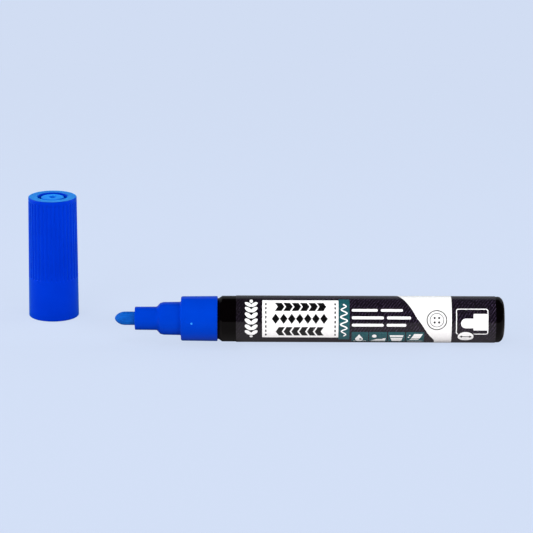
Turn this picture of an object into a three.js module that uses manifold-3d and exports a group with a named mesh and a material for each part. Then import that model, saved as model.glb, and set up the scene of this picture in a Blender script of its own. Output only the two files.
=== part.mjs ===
// Fabric marking pen: a valve-action paint marker lying on its side, with its cap off and standing beside it.
// Millimetres, +Z up. The pen's axis is the X axis: the nib points to -X (the front) and the flat tail face
// is at x = 0. Axial positions of the pen are read on a drawing scale whose zero lies 0.9 beyond the tail
// face, and the finished group is moved so that the face is at 0.
import * as THREE from "three";
import { mergeVertices } from "three/addons/utils/BufferGeometryUtils.js";
import ManifoldModule from "manifold-3d";

// ---- facets round a turned piece ----
const SIDES = 40; // outer pieces of the pen
const INNER_SIDES = 32; // wider inner pieces
const FINE_SIDES = 24; // narrow inner pieces

// ---- driving dimensions ----
const BARREL_R = 7.4;
const BARREL_WALL = 1.3;
const CHAMBER_R = BARREL_R - BARREL_WALL;
const TAIL_X = -0.9;
const TAIL_ROUND = 2.1; // axial length of the rounded tail edge
const TAIL_FLAT_R = 4.2; // flat disc at the tail's end

const NECK_R = 6.0; // inside the collar
const NECK_BORE_R = 5.2;
const NECK_FRONT_X = -102.0;
const NECK_RING_R = 6.6; // bare ring between collar and shoulder
const NECK_RING_X = -94.0;
const SHOULDER_FRONT_X = -93.05;
const SHOULDER_REAR_X = -91.85;

const LABEL_FRONT_X = -87.4;
const LABEL_REAR_X = -3.85;
const LABEL_IN_R = BARREL_R + 0.02;
const LABEL_OUT_R = LABEL_IN_R + 0.1;

const COLLAR_FRONT_X = -105.2;
const COLLAR_REAR_X = -93.4;
const COLLAR_FRONT_R = 7.16;
const COLLAR_REAR_R = 7.25;
const NOZZLE_REAR_R = 5.3; // wide step of the nozzle
const NOZZLE_FRONT_R = 3.75; // narrow step of the nozzle
const NOZZLE_FACE_X = -120.1;

const NIB_R = 2.2;
const NIB_TIP_X = -126.6;
const NIB_REAR_X = -104.6;
const NIB_DOME = 3.4; // axial length of the rounded tip
const NIB_CHAMFER = 0.3;
const NIB_BORE_R = NIB_R + 0.1;

// ---- materials ----
function plastic({ color, roughness }) {
  return new THREE.MeshStandardMaterial({ color, roughness, metalness: 0 });
}
const bluePlastic = plastic({ color: 0x0038d0, roughness: 0.38 });
const blueGloss = plastic({ color: 0x0040cf, roughness: 0.22 });
const blackGloss = plastic({ color: 0x0b0b0d, roughness: 0.2 });
const printedFilm = plastic({ color: 0x1c1824, roughness: 0.3 });
const feltFibre = plastic({ color: 0x1668cf, roughness: 0.85 });
const naturalPlastic = plastic({ color: 0xe6e6e0, roughness: 0.4 });
const softSeal = plastic({ color: 0x38383a, roughness: 0.7 });
const steel = new THREE.MeshStandardMaterial({
  color: 0xb9bcc0,
  roughness: 0.25,
  metalness: 1,
});

// ---- helpers ----
const wasm = await ManifoldModule();
wasm.setup();

// A welded geometry with only positions, without collapsed triangles, facing outwards.
function weld(geometry) {
  const bare = new THREE.BufferGeometry()
    .setAttribute("position", geometry.getAttribute("position"))
    .setIndex(geometry.index);
  const welded = mergeVertices(bare, 1e-4);
  const positions = welded.attributes.position;
  const corners = welded.index.array;
  const kept = [];
  let volume = 0; // six times the signed volume
  for (let i = 0; i < corners.length; i += 3) {
    const triangle = [corners[i], corners[i + 1], corners[i + 2]];
    if (new Set(triangle).size < 3) continue;
    const [first, second, third] = triangle.map((corner) =>
      new THREE.Vector3().fromBufferAttribute(positions, corner),
    );
    volume += first.dot(second.cross(third));
    kept.push(...triangle);
  }
  if (volume < 0) {
    for (let i = 0; i < kept.length; i += 3) {
      [kept[i + 1], kept[i + 2]] = [kept[i + 2], kept[i + 1]];
    }
  }
  welded.setIndex(kept);
  return welded;
}

// An outline of [position along the axis, radius] spun about the Y axis.
// An outline that doesn't start and end on the axis is closed on itself first.
function spun(outline, sides) {
  const points = outline.map(([along, radius]) => new THREE.Vector2(radius, along));
  if (points[0].x > 0 || points.at(-1).x > 0) points.push(points[0].clone());
  return new THREE.LatheGeometry(points, sides);
}

// A pen piece: an outline of [x, radius] spun about the X axis.
function turned(outline, sides = SIDES) {
  return weld(spun(outline, sides).rotateZ(-Math.PI / 2));
}

// A cap piece: an outline of [z, radius] spun about the Z axis.
function stood(outline, sides) {
  return weld(spun(outline, sides).rotateX(Math.PI / 2));
}

// A plain ring about the X axis.
function ring({ frontX, rearX, innerR, outerR, sides }) {
  const outline = [[frontX, innerR], [frontX, outerR], [rearX, outerR], [rearX, innerR]];
  return turned(outline, sides);
}

// Outline points of a curve between two points, bulging towards the corner point.
function rounded(from, corner, to, steps) {
  const curve = new THREE.QuadraticBezierCurve(
    new THREE.Vector2(...from),
    new THREE.Vector2(...corner),
    new THREE.Vector2(...to),
  );
  return curve.getPoints(steps).map((point) => point.toArray());
}

function toSolid(geometry) {
  return new wasm.Manifold(
    new wasm.Mesh({
      numProp: 3,
      vertProperties: new Float32Array(geometry.attributes.position.array),
      triVerts: new Uint32Array(geometry.index.array),
    }),
  );
}

function toGeometry(solid) {
  const { numVert, numProp, vertProperties, triVerts } = solid.getMesh();
  const positions = new Float32Array(numVert * 3);
  for (let i = 0; i < numVert; i++) {
    positions.set(vertProperties.subarray(i * numProp, i * numProp + 3), i * 3);
  }
  return new THREE.BufferGeometry()
    .setAttribute("position", new THREE.BufferAttribute(positions, 3))
    .setIndex(new THREE.BufferAttribute(new Uint32Array(triVerts), 1));
}

function piece(name, geometry, material) {
  const mesh = new THREE.Mesh(geometry, material);
  mesh.name = name;
  return mesh;
}

const pen = new THREE.Group();

// ---- barrel: paint chamber with a closed, flat-ended tail and a neck for the front section ----
const TAIL_EDGE = rounded(
  [TAIL_X - TAIL_ROUND, BARREL_R],
  [TAIL_X, BARREL_R],
  [TAIL_X, TAIL_FLAT_R],
  4,
);
// [x, radius]
const BARREL_OUTLINE = [
  [NECK_FRONT_X, NECK_BORE_R],
  [NECK_FRONT_X, NECK_R],
  [NECK_RING_X, NECK_R],
  [NECK_RING_X, NECK_RING_R],
  [SHOULDER_FRONT_X, NECK_RING_R],
  [SHOULDER_REAR_X, BARREL_R],
  ...TAIL_EDGE,
  [TAIL_X, 0],
  [TAIL_X - BARREL_WALL, 0],
  [TAIL_X - BARREL_WALL, CHAMBER_R],
  [-88.5, CHAMBER_R],
  [-90.0, NECK_BORE_R],
];
pen.add(piece("barrel", turned(BARREL_OUTLINE), blackGloss));

// ---- printed sleeve round the barrel ----
const label = ring({
  frontX: LABEL_FRONT_X,
  rearX: LABEL_REAR_X,
  innerR: LABEL_IN_R,
  outerR: LABEL_OUT_R,
});
pen.add(piece("label_sleeve", label, printedFilm));

// ---- front section: collar and two-step nozzle in one moulding ----
const NOZZLE_EDGE = rounded(
  [NOZZLE_FACE_X, 3.4],
  [NOZZLE_FACE_X, NOZZLE_FRONT_R - 0.02],
  [-119.7, NOZZLE_FRONT_R],
  2,
);
const COLLAR_EDGE = rounded(
  [COLLAR_FRONT_X, 6.6],
  [COLLAR_FRONT_X, COLLAR_FRONT_R],
  [-104.6, COLLAR_FRONT_R],
  2,
);
// [x, radius]: outside from the nozzle face to the rear, then back along the bore
const FRONT_OUTLINE = [
  [NOZZLE_FACE_X, NIB_BORE_R],
  ...NOZZLE_EDGE,
  [-113.2, NOZZLE_FRONT_R],
  [-112.75, 4.0],
  [-112.1, 4.85],
  [-111.6, 5.1],
  [-110.6, 5.25],
  [-105.6, NOZZLE_REAR_R],
  [COLLAR_FRONT_X, 5.7],
  ...COLLAR_EDGE,
  [COLLAR_REAR_X, COLLAR_REAR_R],
  [COLLAR_REAR_X, 6.85],
  [-94.3, 6.85],
  [-94.3, 6.2],
  [-103.8, 6.2],
  [-103.8, 4.2],
  [-108.5, 4.2],
  [-109.2, NIB_BORE_R],
];
pen.add(piece("front_section", turned(FRONT_OUTLINE), blueGloss));

// ---- bullet nib ----
const domeCurve = new THREE.EllipseCurve(
  NIB_TIP_X + NIB_DOME,
  0,
  NIB_DOME,
  NIB_R,
  Math.PI,
  Math.PI / 2,
  true,
);
const domePoints = domeCurve.getPoints(6).map((point) => point.toArray());
// [x, radius], with the tip set exactly on the axis
const NIB_OUTLINE = [
  [NIB_TIP_X, 0],
  ...domePoints.slice(1),
  [NIB_REAR_X - NIB_CHAMFER, NIB_R],
  [NIB_REAR_X, NIB_R - NIB_CHAMFER],
  [NIB_REAR_X, 0],
];
pen.add(piece("nib", turned(NIB_OUTLINE, FINE_SIDES), feltFibre));

// ---- valve: seat housing, seal ring and stem; outlines are [x, radius] ----
const HOUSING_OUTLINE = [
  [-102.7, 2.5], [-102.7, 5.9], [-102.1, 5.9], [-102.1, 5.05], // front flange
  [-88.6, 5.05], [-88.6, 4.2], [-99.7, 4.2], // sleeve
  [-99.7, 3.6], [-100.6, 3.6], [-100.6, 1.6], [-101.2, 1.6], [-101.2, 2.5], // seat
];
const SEAL_OUTLINE = [[-100.5, 1.5], [-100.5, 3.5], [-99.7, 3.5], [-99.7, 1.8], [-100.0, 1.5]];
const STEM_OUTLINE = [
  [-104.5, 0], [-104.5, 1.8], [-104.3, 2.0], [-103.7, 2.0], [-103.4, 1.1], // head
  [-99.9, 1.1], [-99.6, 1.5], [-99.6, 2.8], [-98.5, 2.8], [-98.3, 1.15], // flange
  [-87.2, 1.15], [-86.9, 0.85], [-86.9, 0], // rear rod
];
pen.add(piece("valve_housing", turned(HOUSING_OUTLINE, INNER_SIDES), naturalPlastic));
pen.add(piece("valve_seal", turned(SEAL_OUTLINE, FINE_SIDES), softSeal));
pen.add(piece("valve_stem", turned(STEM_OUTLINE, FINE_SIDES), naturalPlastic));

// ---- valve spring ----
const SPRING_FRONT_X = -98.05; // ends of the wire's centre line
const SPRING_REAR_X = -90.45;
const SPRING_R = 1.95;
const SPRING_TURNS = 6.5;
const END_TURN_RISE = 0.5; // the first and last turn lie nearly flat
const WIRE_R = 0.22;

class SpringCurve extends THREE.Curve {
  getPoint(t, target = new THREE.Vector3()) {
    const turns = SPRING_TURNS * t;
    const liveTurns = SPRING_TURNS - 2;
    const liveLength = SPRING_REAR_X - SPRING_FRONT_X - 2 * END_TURN_RISE;
    const liveShare = Math.min(Math.max(turns - 1, 0), liveTurns) / liveTurns;
    const endTurns = Math.min(turns, 1) + Math.max(turns - SPRING_TURNS + 1, 0);
    const angle = 2 * Math.PI * turns;
    return target.set(
      SPRING_FRONT_X + liveShare * liveLength + END_TURN_RISE * endTurns,
      SPRING_R * Math.cos(angle),
      SPRING_R * Math.sin(angle),
    );
  }
}

function springGeometry() {
  const wire = new THREE.Shape();
  wire.absarc(0, 0, WIRE_R, 0, 2 * Math.PI, false);
  const coil = new THREE.ExtrudeGeometry(wire, {
    steps: 104,
    curveSegments: 3,
    bevelEnabled: false,
    extrudePath: new SpringCurve(),
  });
  return weld(coil);
}
pen.add(piece("valve_spring", springGeometry(), steel));

// ---- spring retainer: a disc with a guide hole for the stem and a circle of flow holes ----
const RETAINER_FRONT_X = -90.2;
const RETAINER_REAR_X = -88.9;
const FLOW_HOLES = 5;
const FLOW_HOLE_R = 0.65;
const FLOW_CIRCLE_R = 2.8;
const FLOW_CUT_LENGTH = 4; // passes right through the disc

function retainerGeometry() {
  const disc = ring({
    frontX: RETAINER_FRONT_X,
    rearX: RETAINER_REAR_X,
    innerR: 1.35,
    outerR: 4.1,
    sides: INNER_SIDES,
  });
  let solid = toSolid(disc);
  for (let i = 0; i < FLOW_HOLES; i++) {
    const angle = (2 * Math.PI * i) / FLOW_HOLES;
    const hole = new THREE.CylinderGeometry(FLOW_HOLE_R, FLOW_HOLE_R, FLOW_CUT_LENGTH, 10);
    hole.rotateZ(Math.PI / 2);
    hole.translate(
      (RETAINER_FRONT_X + RETAINER_REAR_X) / 2,
      FLOW_CIRCLE_R * Math.cos(angle),
      FLOW_CIRCLE_R * Math.sin(angle),
    );
    solid = solid.subtract(toSolid(weld(hole)));
  }
  return toGeometry(solid);
}
pen.add(piece("spring_retainer", retainerGeometry(), naturalPlastic));

// ---- washer that seals the neck against the front section ----
const gasket = ring({
  frontX: -103.7,
  rearX: -102.8,
  innerR: 4.4,
  outerR: 5.9,
  sides: INNER_SIDES,
});
pen.add(piece("neck_gasket", gasket, softSeal));

// ---- two loose mixing balls by the chamber's lower wall ----
const BALL_R = 2.4;
const BALL_GAP = 0.15; // between ball and wall
const BALLS = [
  ["mixing_ball_front", -74],
  ["mixing_ball_rear", -53.4],
]; // [name, x]
for (const [name, x] of BALLS) {
  const ball = weld(new THREE.SphereGeometry(BALL_R, 18, 12));
  ball.translate(x, 0, -(CHAMBER_R - BALL_R - BALL_GAP));
  pen.add(piece(name, ball, steel));
}

// ---- cap, standing on its mouth; heights are measured up from the mouth ----
const CAP_HEIGHT = 40.6;
const CAP_MOUTH_R = 8.25;
const CAP_TOP_R = 7.95;
const CAP_BAND = 13.1; // smooth band below the ribs
const CAP_BORE_R = 7.45; // wide bore at the mouth
const CAP_INNER_R = 6.85; // narrower bore above it
const CAP_END_Z = CAP_HEIGHT - 1.4; // inside of the end wall
const CAP_WINDOW_R = 4.95; // opening in the end wall that shows the inner seal
const CAP_PLUG_R = 3.8; // the inner seal's closed end, seen in that opening
const RIBS = 36;
const RIB_EDGES = RIBS * 3;
const RIB_DEPTH = 0.18;
const RIB_FROM_Z = CAP_BAND + 0.4;
const RIB_TO_Z = 39.8;
const TABLE_Z = -LABEL_OUT_R; // the pen lies on its sleeve

const cap = new THREE.Group();
cap.position.set(-148.1, 28.7, TABLE_Z); // centre of the mouth, on the drawing scale
pen.add(cap);

// Outside radius of the tapered cap.
function capRadiusAt(z) {
  return CAP_MOUTH_R + ((CAP_TOP_R - CAP_MOUTH_R) * z) / CAP_HEIGHT;
}

const CAP_TOP_EDGE = rounded(
  [40.2, capRadiusAt(40.2)],
  [CAP_HEIGHT, CAP_TOP_R],
  [CAP_HEIGHT, 7.2],
  3,
);
// [z, radius]: up the outside, then down the inside
const SHELL_OUTLINE = [
  [0, CAP_BORE_R + 0.3],
  [0, CAP_MOUTH_R - 0.25],
  [0.25, CAP_MOUTH_R],
  ...[CAP_BAND, RIB_FROM_Z, RIB_TO_Z].map((z) => [z, capRadiusAt(z)]),
  ...CAP_TOP_EDGE,
  [CAP_HEIGHT, CAP_WINDOW_R],
  [CAP_END_Z, CAP_WINDOW_R],
  [CAP_END_Z, CAP_INNER_R],
  // Bead round the bore, below the inner seal's flange.
  [CAP_END_Z - 1.3, CAP_INNER_R],
  [CAP_END_Z - 1.6, 6.45],
  [CAP_END_Z - 1.9, 6.45],
  [CAP_END_Z - 2.2, CAP_INNER_R],
  [13.4, CAP_INNER_R],
  [13.0, CAP_BORE_R - 0.05],
  [0.3, CAP_BORE_R],
];

// Grip ribs: every third edge of the outside sinks, which leaves one facet in three as a crest.
function sinkRibEdges(shell) {
  const positions = shell.attributes.position;
  for (let i = 0; i < positions.count; i++) {
    const x = positions.getX(i);
    const y = positions.getY(i);
    const z = positions.getZ(i);
    const radius = Math.hypot(x, y);
    const isRibbed = z >= RIB_FROM_Z - 1e-3 && z <= RIB_TO_Z + 1e-3;
    const isOutside = radius >= capRadiusAt(z) - 0.05;
    const edge = Math.round((Math.atan2(y, x) / (2 * Math.PI)) * RIB_EDGES);
    if (isRibbed && isOutside && edge % 3 === 0) {
      const scale = (radius - RIB_DEPTH) / radius;
      positions.setXYZ(i, x * scale, y * scale, z);
    }
  }
}
const capShell = stood(SHELL_OUTLINE, RIB_EDGES);
sinkRibEdges(capShell);
cap.add(piece("cap_shell", capShell, bluePlastic));

// Inner seal, [z, radius]: a skirt, a flange under the end wall and a closed end in the window.
const INNER_SEAL_OUTLINE = [
  [21.0, 4.25],
  [21.0, 4.9],
  [CAP_END_Z - 1.2, 4.9],
  [CAP_END_Z - 1.2, 6.7],
  [CAP_END_Z - 0.1, 6.7],
  [CAP_END_Z - 0.1, CAP_PLUG_R],
  [CAP_HEIGHT - 0.2, CAP_PLUG_R],
  [CAP_HEIGHT - 0.2, 1.1],
  [CAP_HEIGHT - 0.8, 0.9],
  [CAP_HEIGHT - 0.8, 0],
  [36.0, 0],
  [36.0, 2.6],
  [34.6, 3.85],
  [21.6, 3.85],
];
cap.add(piece("cap_inner_seal", stood(INNER_SEAL_OUTLINE, INNER_SIDES), bluePlastic));

pen.position.x = -TAIL_X;

export default pen;
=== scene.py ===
"""Looks for the fabric marking pen: a paint marker lying on its side and its loose cap standing beside it.

Lengths in the tables and mesh code are millimetres, and MM turns them into metres. Shader, light and camera
lengths are metres. The pen's axis is X, the nib points to -X and the camera looks from the -Y side. Axial
positions on the pen are read on a drawing scale whose tail face is at TAIL, and SHIFT brings them into the row
frame. The cap stands on its mouth at CAP, which is already in the row frame.
"""

import math
import random

import bmesh
import bpy
import numpy as np
from mathutils import Matrix, Vector, noise
from mathutils.geometry import delaunay_2d_cdt


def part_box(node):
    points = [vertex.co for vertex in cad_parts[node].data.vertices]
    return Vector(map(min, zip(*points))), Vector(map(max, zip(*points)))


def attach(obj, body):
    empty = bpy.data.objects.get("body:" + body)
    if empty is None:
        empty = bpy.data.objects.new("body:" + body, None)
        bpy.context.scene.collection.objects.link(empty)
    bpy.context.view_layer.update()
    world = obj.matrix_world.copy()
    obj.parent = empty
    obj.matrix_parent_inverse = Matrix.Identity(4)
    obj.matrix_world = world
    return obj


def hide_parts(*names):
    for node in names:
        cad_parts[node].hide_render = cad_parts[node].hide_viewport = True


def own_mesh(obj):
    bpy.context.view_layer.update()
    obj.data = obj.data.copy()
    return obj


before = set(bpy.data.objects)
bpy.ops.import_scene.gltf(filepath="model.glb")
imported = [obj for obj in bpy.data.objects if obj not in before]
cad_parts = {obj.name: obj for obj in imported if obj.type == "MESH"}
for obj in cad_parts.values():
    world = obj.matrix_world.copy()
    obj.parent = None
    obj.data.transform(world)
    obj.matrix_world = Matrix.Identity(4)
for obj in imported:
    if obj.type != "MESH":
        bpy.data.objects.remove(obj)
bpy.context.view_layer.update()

scene = bpy.context.scene
MM = 0.001
TAU = 2 * math.pi

TABLE_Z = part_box("label_sleeve")[0].z / MM  # the pen rests on its label
cap_low, cap_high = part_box("cap_shell")
CAP = (
    (cap_low.x + cap_high.x) / 2 / MM,
    (cap_low.y + cap_high.y) / 2 / MM,
    cap_low.z / MM,
)
CAP_H = (cap_high.z - cap_low.z) / MM
# Painted light and shade: the end face above this height gets its own colour, set for the light and sheen it
# catches.
PAINTED_TOP_Z = TABLE_Z * MM + (CAP_H - 0.20) * MM  # lower limit of the cap's end face, in metres

TAIL = -0.9
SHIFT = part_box("barrel")[1].x / MM - TAIL
BARREL_R = 7.39
BARREL_BORE = 6.1

FILM_R = 7.52
FILM_BORE = 7.42
FILM_X = (-87.4, -3.85)
FILM_SEAM = math.pi + 0.16  # angle about the pen at which the film's ends meet
FILM_GAP = 0.14

# ------------------------------------------------------------------ mesh helpers


def finish_mesh(name, bm, sharp_deg=30.0, recalc=True):
    """bmesh in mm to an object in metres, smooth with hard edges kept hard."""
    if recalc:
        bmesh.ops.recalc_face_normals(bm, faces=bm.faces)
    limit = math.radians(sharp_deg)
    for face in bm.faces:
        face.smooth = True
    for edge in bm.edges:
        if len(edge.link_faces) == 2 and edge.calc_face_angle(0.0) > limit:
            edge.smooth = False
    for vert in bm.verts:
        vert.co *= MM
    mesh = bpy.data.meshes.new(name)
    bm.to_mesh(mesh)
    bm.free()
    obj = bpy.data.objects.new(name, mesh)
    scene.collection.objects.link(obj)
    return obj


def rounded(outline, arc_steps):
    """Rounds the corners of an outline of (along, radius) or (along, radius, fillet radius).
    A quarter turn gets arc_steps segments. The first and last points take no fillet."""
    points = []
    for i, (along, radius, *fillet) in enumerate(outline):
        if not fillet:
            points.append((along, radius))
            continue
        corner = Vector((along, radius))
        back = Vector(outline[i - 1][:2]) - corner
        ahead = Vector(outline[i + 1][:2]) - corner
        back_length, ahead_length = back.length, ahead.length
        back, ahead = back / back_length, ahead / ahead_length
        angle = math.acos(back.dot(ahead))
        cut = min(fillet[0] / math.tan(angle / 2), 0.49 * back_length, 0.49 * ahead_length)
        arc_r = cut * math.tan(angle / 2)
        centre = corner + (back + ahead).normalized() * (arc_r / math.sin(angle / 2))
        start = corner + back * cut - centre
        end = corner + ahead * cut - centre
        first = math.atan2(start.y, start.x)
        turn = math.atan2(end.y, end.x) - first
        if turn > math.pi:
            turn -= TAU
        elif turn < -math.pi:
            turn += TAU
        count = max(2, int(math.ceil(arc_steps * abs(turn) / (math.pi / 2))))
        for k in range(count + 1):
            step = first + turn * k / count
            points.append((centre.x + arc_r * math.cos(step), centre.y + arc_r * math.sin(step)))
    return points


def on_pen(along, radius, angle):
    """Angle 0 is the near side (-Y), and it grows upwards."""
    return (along + SHIFT, -radius * math.cos(angle), radius * math.sin(angle))


def on_cap(along, radius, angle):
    return (CAP[0] + radius * math.cos(angle), CAP[1] + radius * math.sin(angle), CAP[2] + along)


def bridge(bm, rings):
    """Joins each ring to the next. A ring of one vertex closes to a point."""
    for first, second in zip(rings, rings[1:]):
        count = max(len(first), len(second))
        for k in range(count):
            j = (k + 1) % count
            if len(first) == 1:
                bm.faces.new((first[0], second[k], second[j]))
            elif len(second) == 1:
                bm.faces.new((first[k], first[j], second[0]))
            else:
                bm.faces.new((first[k], first[j], second[j], second[k]))


def lathe(name, profile, segments, place=on_pen, shape=None, sharp_deg=30.0):
    """Spins a profile of (along, radius). It starts and ends on the axis, or closes on itself.
    shape(along, radius, angle) may return another radius."""
    bm = bmesh.new()
    rings = []
    for along, radius in profile:
        if radius <= 1e-6:
            rings.append([bm.verts.new(place(along, 0, 0))])
            continue
        ring = []
        for k in range(segments):
            angle = TAU * k / segments
            reach = shape(along, radius, angle) if shape else radius
            ring.append(bm.verts.new(place(along, reach, angle)))
        rings.append(ring)
    if len(rings[0]) > 1:
        rings.append(rings[0])
    bridge(bm, rings)
    return finish_mesh(name, bm, sharp_deg)


def dress(obj, material, body, slot, *nodes):
    """Gives a piece its material, the body it rides on and the CAD pieces it replaces. The slot argument is
    not used.
    """
    obj.data.materials.append(material)
    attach(obj, body)
    if nodes:
        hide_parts(*nodes)
    return obj


# ------------------------------------------------------------------ material helpers


class Nodes:
    """A small builder for the node tree of a material or world."""

    def __init__(self, owner):
        owner.use_nodes = True
        self.tree = owner.node_tree
        self.tree.nodes.clear()

    def add(self, kind, **settings):
        node = self.tree.nodes.new(kind)
        for key, value in settings.items():
            setattr(node, key, value)
        return node

    def feed(self, socket, value):
        """Links an output to the socket, or sets the socket's value."""
        if isinstance(value, bpy.types.NodeSocket):
            self.tree.links.new(value, socket)
        else:
            socket.default_value = value

    def shader(self, kind, **inputs):
        node = self.add(kind)
        for key, value in inputs.items():
            self.feed(node.inputs[key], value)
        return node.outputs[0]

    def mix_shaders(self, factor, first, second):
        node = self.add("ShaderNodeMixShader")
        for i, value in enumerate((factor, first, second)):
            self.feed(node.inputs[i], value)
        return node.outputs[0]

    def split(self, vector):
        node = self.add("ShaderNodeSeparateXYZ")
        self.feed(node.inputs[0], vector)
        return node.outputs

    def math(self, operation, *values, clamp=False):
        node = self.add("ShaderNodeMath", operation=operation, use_clamp=clamp)
        for i in range(3):
            self.feed(node.inputs[i], values[i] if i < len(values) else 0.0)
        return node.outputs[0]

    def remap(self, value, span, to=(0, 1), kind="LINEAR"):
        """Maps the span of the value to another span."""
        node = self.add("ShaderNodeMapRange", interpolation_type=kind)
        node.inputs["From Min"].default_value, node.inputs["From Max"].default_value = span
        node.inputs["To Min"].default_value, node.inputs["To Max"].default_value = to
        self.feed(node.inputs["Value"], value)
        return node.outputs["Result"]


class Surface(Nodes):
    """A Principled material with textures in object space."""

    def __init__(self, name):
        self.mat = bpy.data.materials.new(name)
        super().__init__(self.mat)
        output = self.add("ShaderNodeOutputMaterial")
        self.bsdf = self.add("ShaderNodeBsdfPrincipled")
        self.feed(output.inputs[0], self.bsdf.outputs[0])
        self.coord = self.add("ShaderNodeTexCoord").outputs["Object"]

    def set(self, **inputs):
        """Feeds Principled inputs. An underscore stands for a space."""
        for key, value in inputs.items():
            self.feed(self.bsdf.inputs[key.replace("_", " ")], value)

    def mapped(self, scale=(1, 1, 1), rotation=(0, 0, 0), vector=None):
        node = self.add("ShaderNodeMapping")
        self.feed(node.inputs["Vector"], vector or self.coord)
        node.inputs["Scale"].default_value = scale
        node.inputs["Rotation"].default_value = rotation
        return node.outputs["Vector"]

    def noise(self, scale, detail=2.0, rough=0.5, vector=None):
        node = self.add("ShaderNodeTexNoise")
        self.feed(node.inputs["Vector"], vector or self.coord)
        node.inputs["Scale"].default_value = scale
        node.inputs["Detail"].default_value = detail
        node.inputs["Roughness"].default_value = rough
        return node.outputs["Fac"]

    def ramp(self, factor, stops):
        """stops: (position, colour)."""
        node = self.add("ShaderNodeValToRGB")
        self.feed(node.inputs[0], factor)
        elements = node.color_ramp.elements
        while len(elements) < len(stops):
            elements.new(0.5)
        for element, (position, colour) in zip(elements, stops):
            element.position = position
            element.color = colour
        return node.outputs[0]

    def mix(self, factor, *colours):
        node = self.add("ShaderNodeMix", data_type="RGBA")
        self.feed(node.inputs["Factor"], factor)
        sockets = [socket for socket in node.inputs if socket.type == "RGBA"]
        for socket, colour in zip(sockets, colours):
            self.feed(socket, colour)
        return [socket for socket in node.outputs if socket.type == "RGBA"][0]

    def bump(self, height, strength, distance, normal=None):
        node = self.add("ShaderNodeBump")
        node.inputs["Strength"].default_value = strength
        node.inputs["Distance"].default_value = distance
        self.feed(node.inputs["Height"], height)
        if normal is not None:
            self.feed(node.inputs["Normal"], normal)
        return node.outputs["Normal"]


def srgb(*channels):
    """8-bit sRGB to linear RGBA."""

    def linear(value):
        value /= 255
        return value / 12.92 if value <= 0.04045 else ((value + 0.055) / 1.055) ** 2.4

    return (*map(linear, channels), 1.0)


# ------------------------------------------------------------------ materials


def plastic(name, colour, tint, rough, spread, peel, peel_scale, level=0.5, sheen=None,
            scatter=0.0, gloss=None, painted_top_tone=None):
    """Moulded plastic: a slow drift from colour to tint, a faint orange peel, and fine handling
    marks in the gloss. Colour and tint are 8-bit sRGB, and gloss tints the highlights.
    sheen: (weight, roughness, tint).
    crown: (height in metres, colour) paints the face above that height in its own colour. This is painted
    light and shade for the light and sheen that end face catches."""
    m = Surface(name)
    drift = m.noise(scale=70, detail=3, rough=0.55)
    base = m.mix(m.remap(drift, span=(0.35, 0.65)), srgb(*colour), srgb(*tint))
    # Painted light and shade: the end face above the given height takes its own colour.
    if painted_top_tone:
        height, painted_top_colour = painted_top_tone
        place = m.split(m.add("ShaderNodeTexCoord").outputs["Object"])
        above = m.remap(place["Z"], span=(height, height + 0.0002))
        base = m.mix(above, base, srgb(*painted_top_colour))
    smear = m.noise(scale=240, detail=4, rough=0.6)
    speck = m.noise(scale=2600)
    matt = m.math(
        "ADD",
        m.remap(smear, span=(0.3, 0.7), to=(rough - spread, rough + spread)),
        m.remap(speck, span=(0.62, 0.72), to=(0.0, spread)),
    )
    m.set(
        Base_Color=base,
        Roughness=matt,
        Normal=m.bump(m.noise(scale=peel_scale), strength=peel, distance=0.00002),
        IOR=1.5,
        Specular_IOR_Level=level,
    )
    if gloss:
        m.set(Specular_Tint=gloss)
    if sheen:
        weight, sheen_rough, glow = sheen
        m.set(Sheen_Weight=weight, Sheen_Roughness=sheen_rough, Sheen_Tint=glow)
    if scatter:
        m.set(
            Subsurface_Weight=scatter,
            Subsurface_Radius=(0.1, 0.25, 1.0),
            Subsurface_Scale=0.0012,
        )
    return m.mat


SKY = (0.02, 0.50, 1.0, 1.0)  # sheen tint of the blue plastics
GLOSS = (0.03, 0.45, 1.0, 1.0)  # highlight tint of the cap

mat_barrel = plastic(
    "barrel_gloss_black", colour=(2, 1, 1), tint=(4, 2, 3),
    rough=0.08, spread=0.02, peel=0.03, peel_scale=700, level=0.12,
)
mat_collar = plastic(
    "collar_gloss_blue", colour=(0, 56, 188), tint=(0, 60, 195),
    rough=0.07, spread=0.02, peel=0.03, peel_scale=800, level=0.10,
    sheen=(0.30, 0.22, SKY), gloss=(0.10, 0.60, 1.0, 1.0),
)
# Painted shade: the cap's end face is given a darker blue, set against the sheen light it catches.
mat_cap = plastic(
    "cap_satin_blue", colour=(0, 46, 192), tint=(0, 50, 200),
    rough=0.33, spread=0.04, peel=0.10, peel_scale=1500, level=0.10,
    sheen=(1.0, 0.32, SKY), gloss=GLOSS, painted_top_tone=(PAINTED_TOP_Z, (0, 42, 172)),
)
# Painted light: the plug's end face is given a lighter blue, for the light it catches from above.
mat_seal = plastic(
    "cap_seal_satin_blue", colour=(0, 44, 186), tint=(0, 48, 194),
    rough=0.38, spread=0.04, peel=0.10, peel_scale=1500, level=0.08,
    sheen=(1.0, 0.30, SKY), gloss=GLOSS, painted_top_tone=(PAINTED_TOP_Z - 0.0005, (0, 90, 208)),
)
# Painted highlight: the gate pip is given a lighter cyan blue, standing in for the bright spot it catches.
mat_gate_highlight = plastic(
    "gate_pip_painted_highlight", colour=(20, 120, 235), tint=(40, 150, 245),
    rough=0.25, spread=0.03, peel=0.10, peel_scale=3000, level=0.3, sheen=(0.5, 0.30, SKY),
)


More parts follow.
